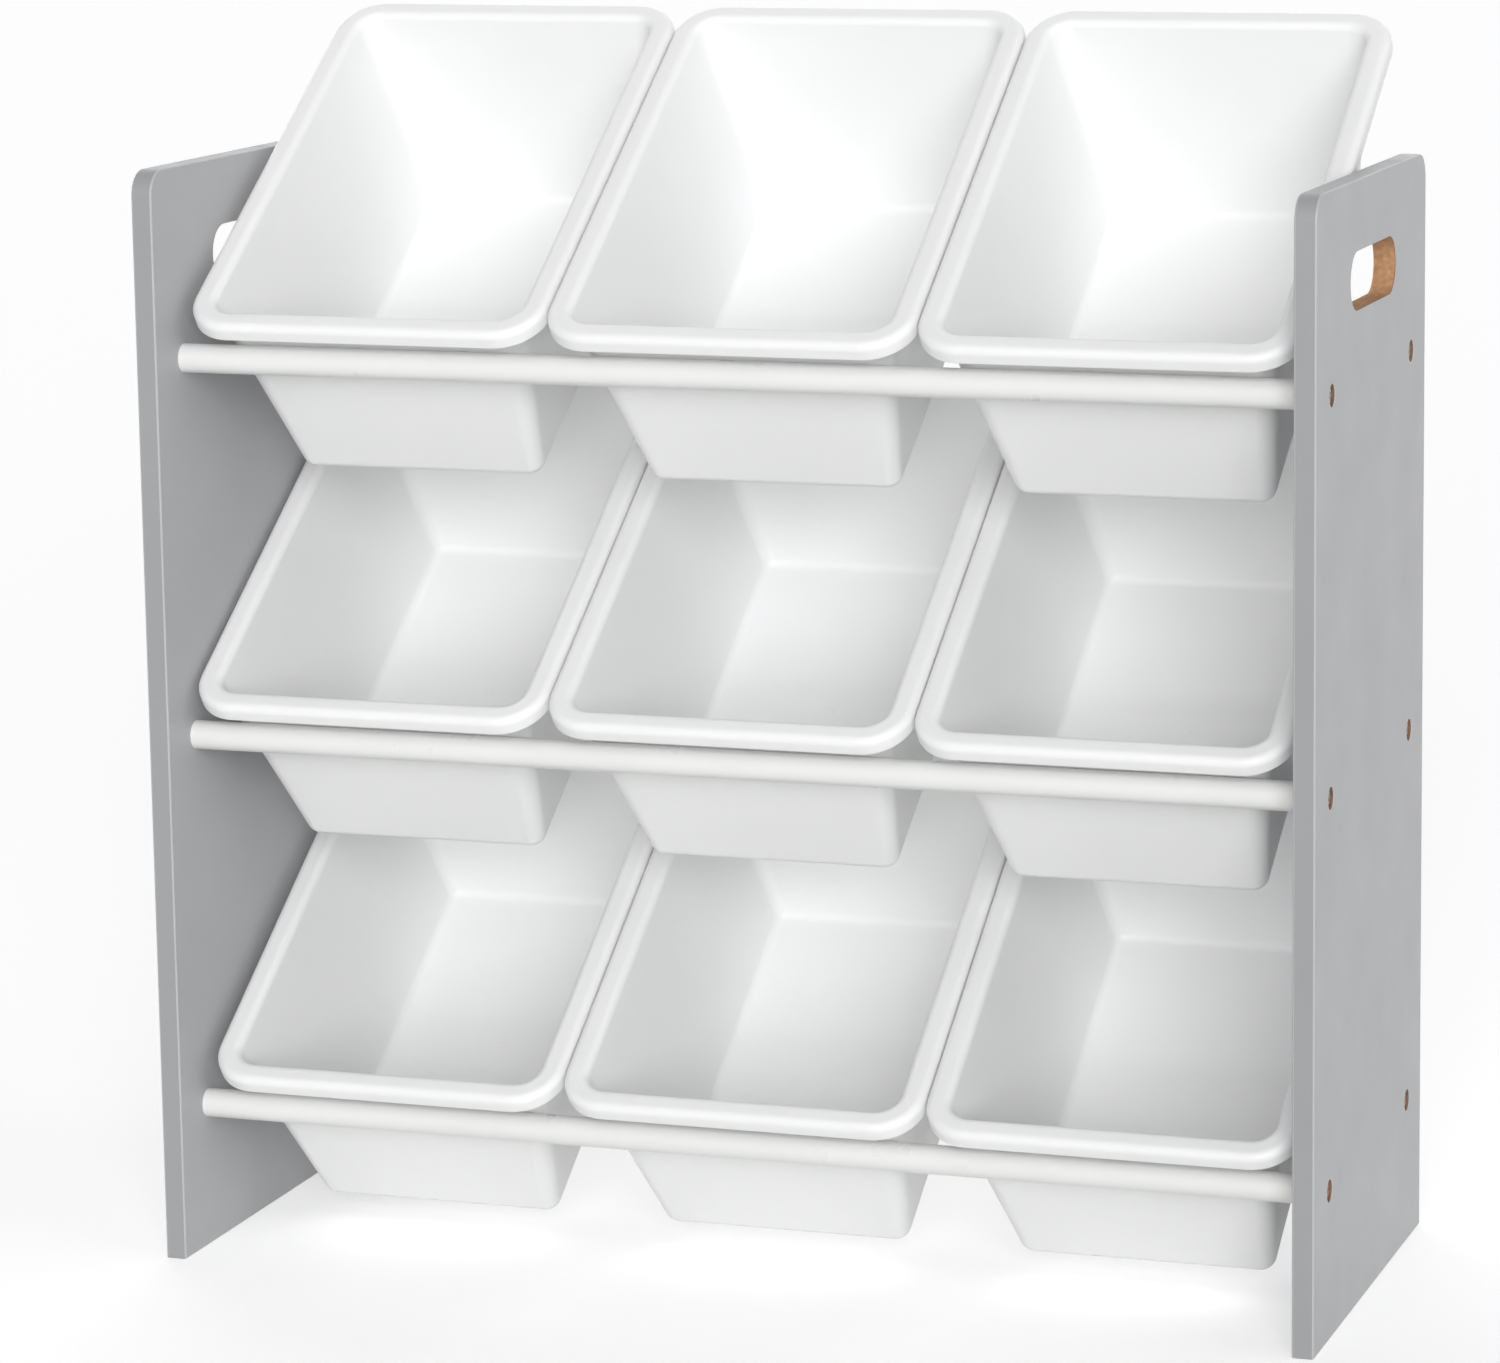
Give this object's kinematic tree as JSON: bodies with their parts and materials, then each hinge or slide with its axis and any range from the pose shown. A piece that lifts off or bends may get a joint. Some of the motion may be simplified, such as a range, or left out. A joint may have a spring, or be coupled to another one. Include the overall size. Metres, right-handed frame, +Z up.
{
  "type": "toy storage organizer with bins",
  "caption": "Open rack for a child's room: tilted, removable moulded bins hang in rows on round tubes between two flat side panels with hand holes.",
  "frame": {"origin": "on the floor, halfway between the side panels and halfway from the panels' front edges to the rearmost point of the tilted bins", "axes": "+X to the right as seen from the front, +Y to the back, +Z up"},
  "size_m": [0.654, 0.295, 0.6799],
  "materials": {
    "panel_paint": "satin grey paint on fibreboard",
    "tube_paint": "satin white powder coat",
    "bin_plastic": "white moulded polypropylene, slightly translucent",
    "plug_plastic": "black moulded nylon",
    "screw_steel": "bright zinc or nickel plate"
  },
  "bodies": {
    "frame": {"left_side_panel": "panel_paint", "right_side_panel": "panel_paint", "left_tube_plugs": "plug_plastic", "right_tube_plugs": "plug_plastic", "left_panel_screws": "screw_steel", "right_panel_screws": "screw_steel", "front_tube_bottom": "tube_paint", "rear_tube_bottom": "tube_paint", "front_tube_middle": "tube_paint", "rear_tube_middle": "tube_paint", "front_tube_top": "tube_paint", "rear_tube_top": "tube_paint"},
    "bin_bottom_left": {"bin_bottom_left": "bin_plastic"},
    "bin_bottom_middle": {"bin_bottom_middle": "bin_plastic"},
    "bin_bottom_right": {"bin_bottom_right": "bin_plastic"},
    "bin_middle_left": {"bin_middle_left": "bin_plastic"},
    "bin_middle_middle": {"bin_middle_middle": "bin_plastic"},
    "bin_middle_right": {"bin_middle_right": "bin_plastic"},
    "bin_top_left": {"bin_top_left": "bin_plastic"},
    "bin_top_middle": {"bin_top_middle": "bin_plastic"},
    "bin_top_right": {"bin_top_right": "bin_plastic"}
  },
  "joints": [
    {"name": "tip_bin_bottom_left", "type": "hinge", "parent": "frame", "child": "bin_bottom_left", "pos_m": [0, 0.07198, 0.081], "axis": [-1, 0, 0], "range_deg": [0, 34]},
    {"name": "tip_bin_bottom_middle", "type": "hinge", "parent": "frame", "child": "bin_bottom_middle", "pos_m": [0, 0.07198, 0.081], "axis": [-1, 0, 0], "range_deg": [0, 34]},
    {"name": "tip_bin_bottom_right", "type": "hinge", "parent": "frame", "child": "bin_bottom_right", "pos_m": [0, 0.07198, 0.081], "axis": [-1, 0, 0], "range_deg": [0, 34]},
    {"name": "tip_bin_middle_left", "type": "hinge", "parent": "frame", "child": "bin_middle_left", "pos_m": [0, 0.07198, 0.2905], "axis": [-1, 0, 0], "range_deg": [0, 34]},
    {"name": "tip_bin_middle_middle", "type": "hinge", "parent": "frame", "child": "bin_middle_middle", "pos_m": [0, 0.07198, 0.2905], "axis": [-1, 0, 0], "range_deg": [0, 34]},
    {"name": "tip_bin_middle_right", "type": "hinge", "parent": "frame", "child": "bin_middle_right", "pos_m": [0, 0.07198, 0.2905], "axis": [-1, 0, 0], "range_deg": [0, 34]},
    {"name": "lift_bin_top_left", "type": "slide", "parent": "frame", "child": "bin_top_left", "axis": [0, -0.5592, 0.829], "range_m": [0, 0.22]},
    {"name": "lift_bin_top_middle", "type": "slide", "parent": "frame", "child": "bin_top_middle", "axis": [0, -0.5592, 0.829], "range_m": [0, 0.22]},
    {"name": "lift_bin_top_right", "type": "slide", "parent": "frame", "child": "bin_top_right", "axis": [0, -0.5592, 0.829], "range_m": [0, 0.22]}
  ]
}
